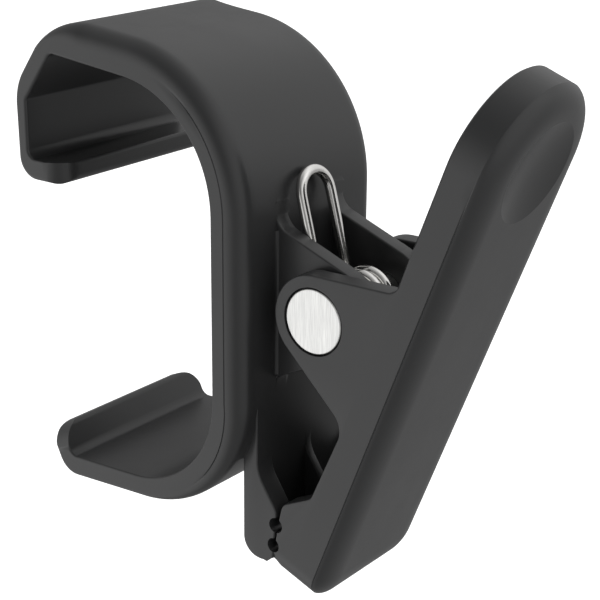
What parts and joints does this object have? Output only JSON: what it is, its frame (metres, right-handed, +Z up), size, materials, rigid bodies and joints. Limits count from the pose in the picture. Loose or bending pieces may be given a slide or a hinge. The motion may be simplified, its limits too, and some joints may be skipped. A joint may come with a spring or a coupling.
{
  "type": "clip-over rail hook with sprung clip",
  "caption": "Moulded C-shaped rail hook with a sprung clothes-peg clip on its back, for hanging a towel or glove from a handle or rail.",
  "frame": {"origin": "on the flat inner face of the hook's back wall, in the middle of the width and level with the pivot", "axes": "+X from the rail side towards the lever, +Y across the width along the pivot pin, +Z up with the handle's free end at the top"},
  "size_m": [0.0882, 0.034, 0.0856],
  "materials": {
    "body_plastic": "moulded black plastic, fine satin grain",
    "lever_plastic": "moulded black plastic, fine satin grain",
    "pin_steel": "straight brushed end faces with a bright bevel",
    "spring_wire": "bright drawn spring wire"
  },
  "bodies": {
    "frame": {"hook_frame": "body_plastic", "pivot_pin": "pin_steel", "pin_cap": "pin_steel", "torsion_spring": "spring_wire"},
    "lever": {"lever": "lever_plastic"}
  },
  "joints": [
    {"name": "lever_pivot", "type": "hinge", "parent": "frame", "child": "lever", "pos_m": [0.0161, 0, 0], "axis": [0, -1, 0], "range_deg": [0, 30], "stiffness_Nm_per_rad": 0.84, "springref_deg": -20.63, "deforming": ["torsion_spring"]}
  ]
}
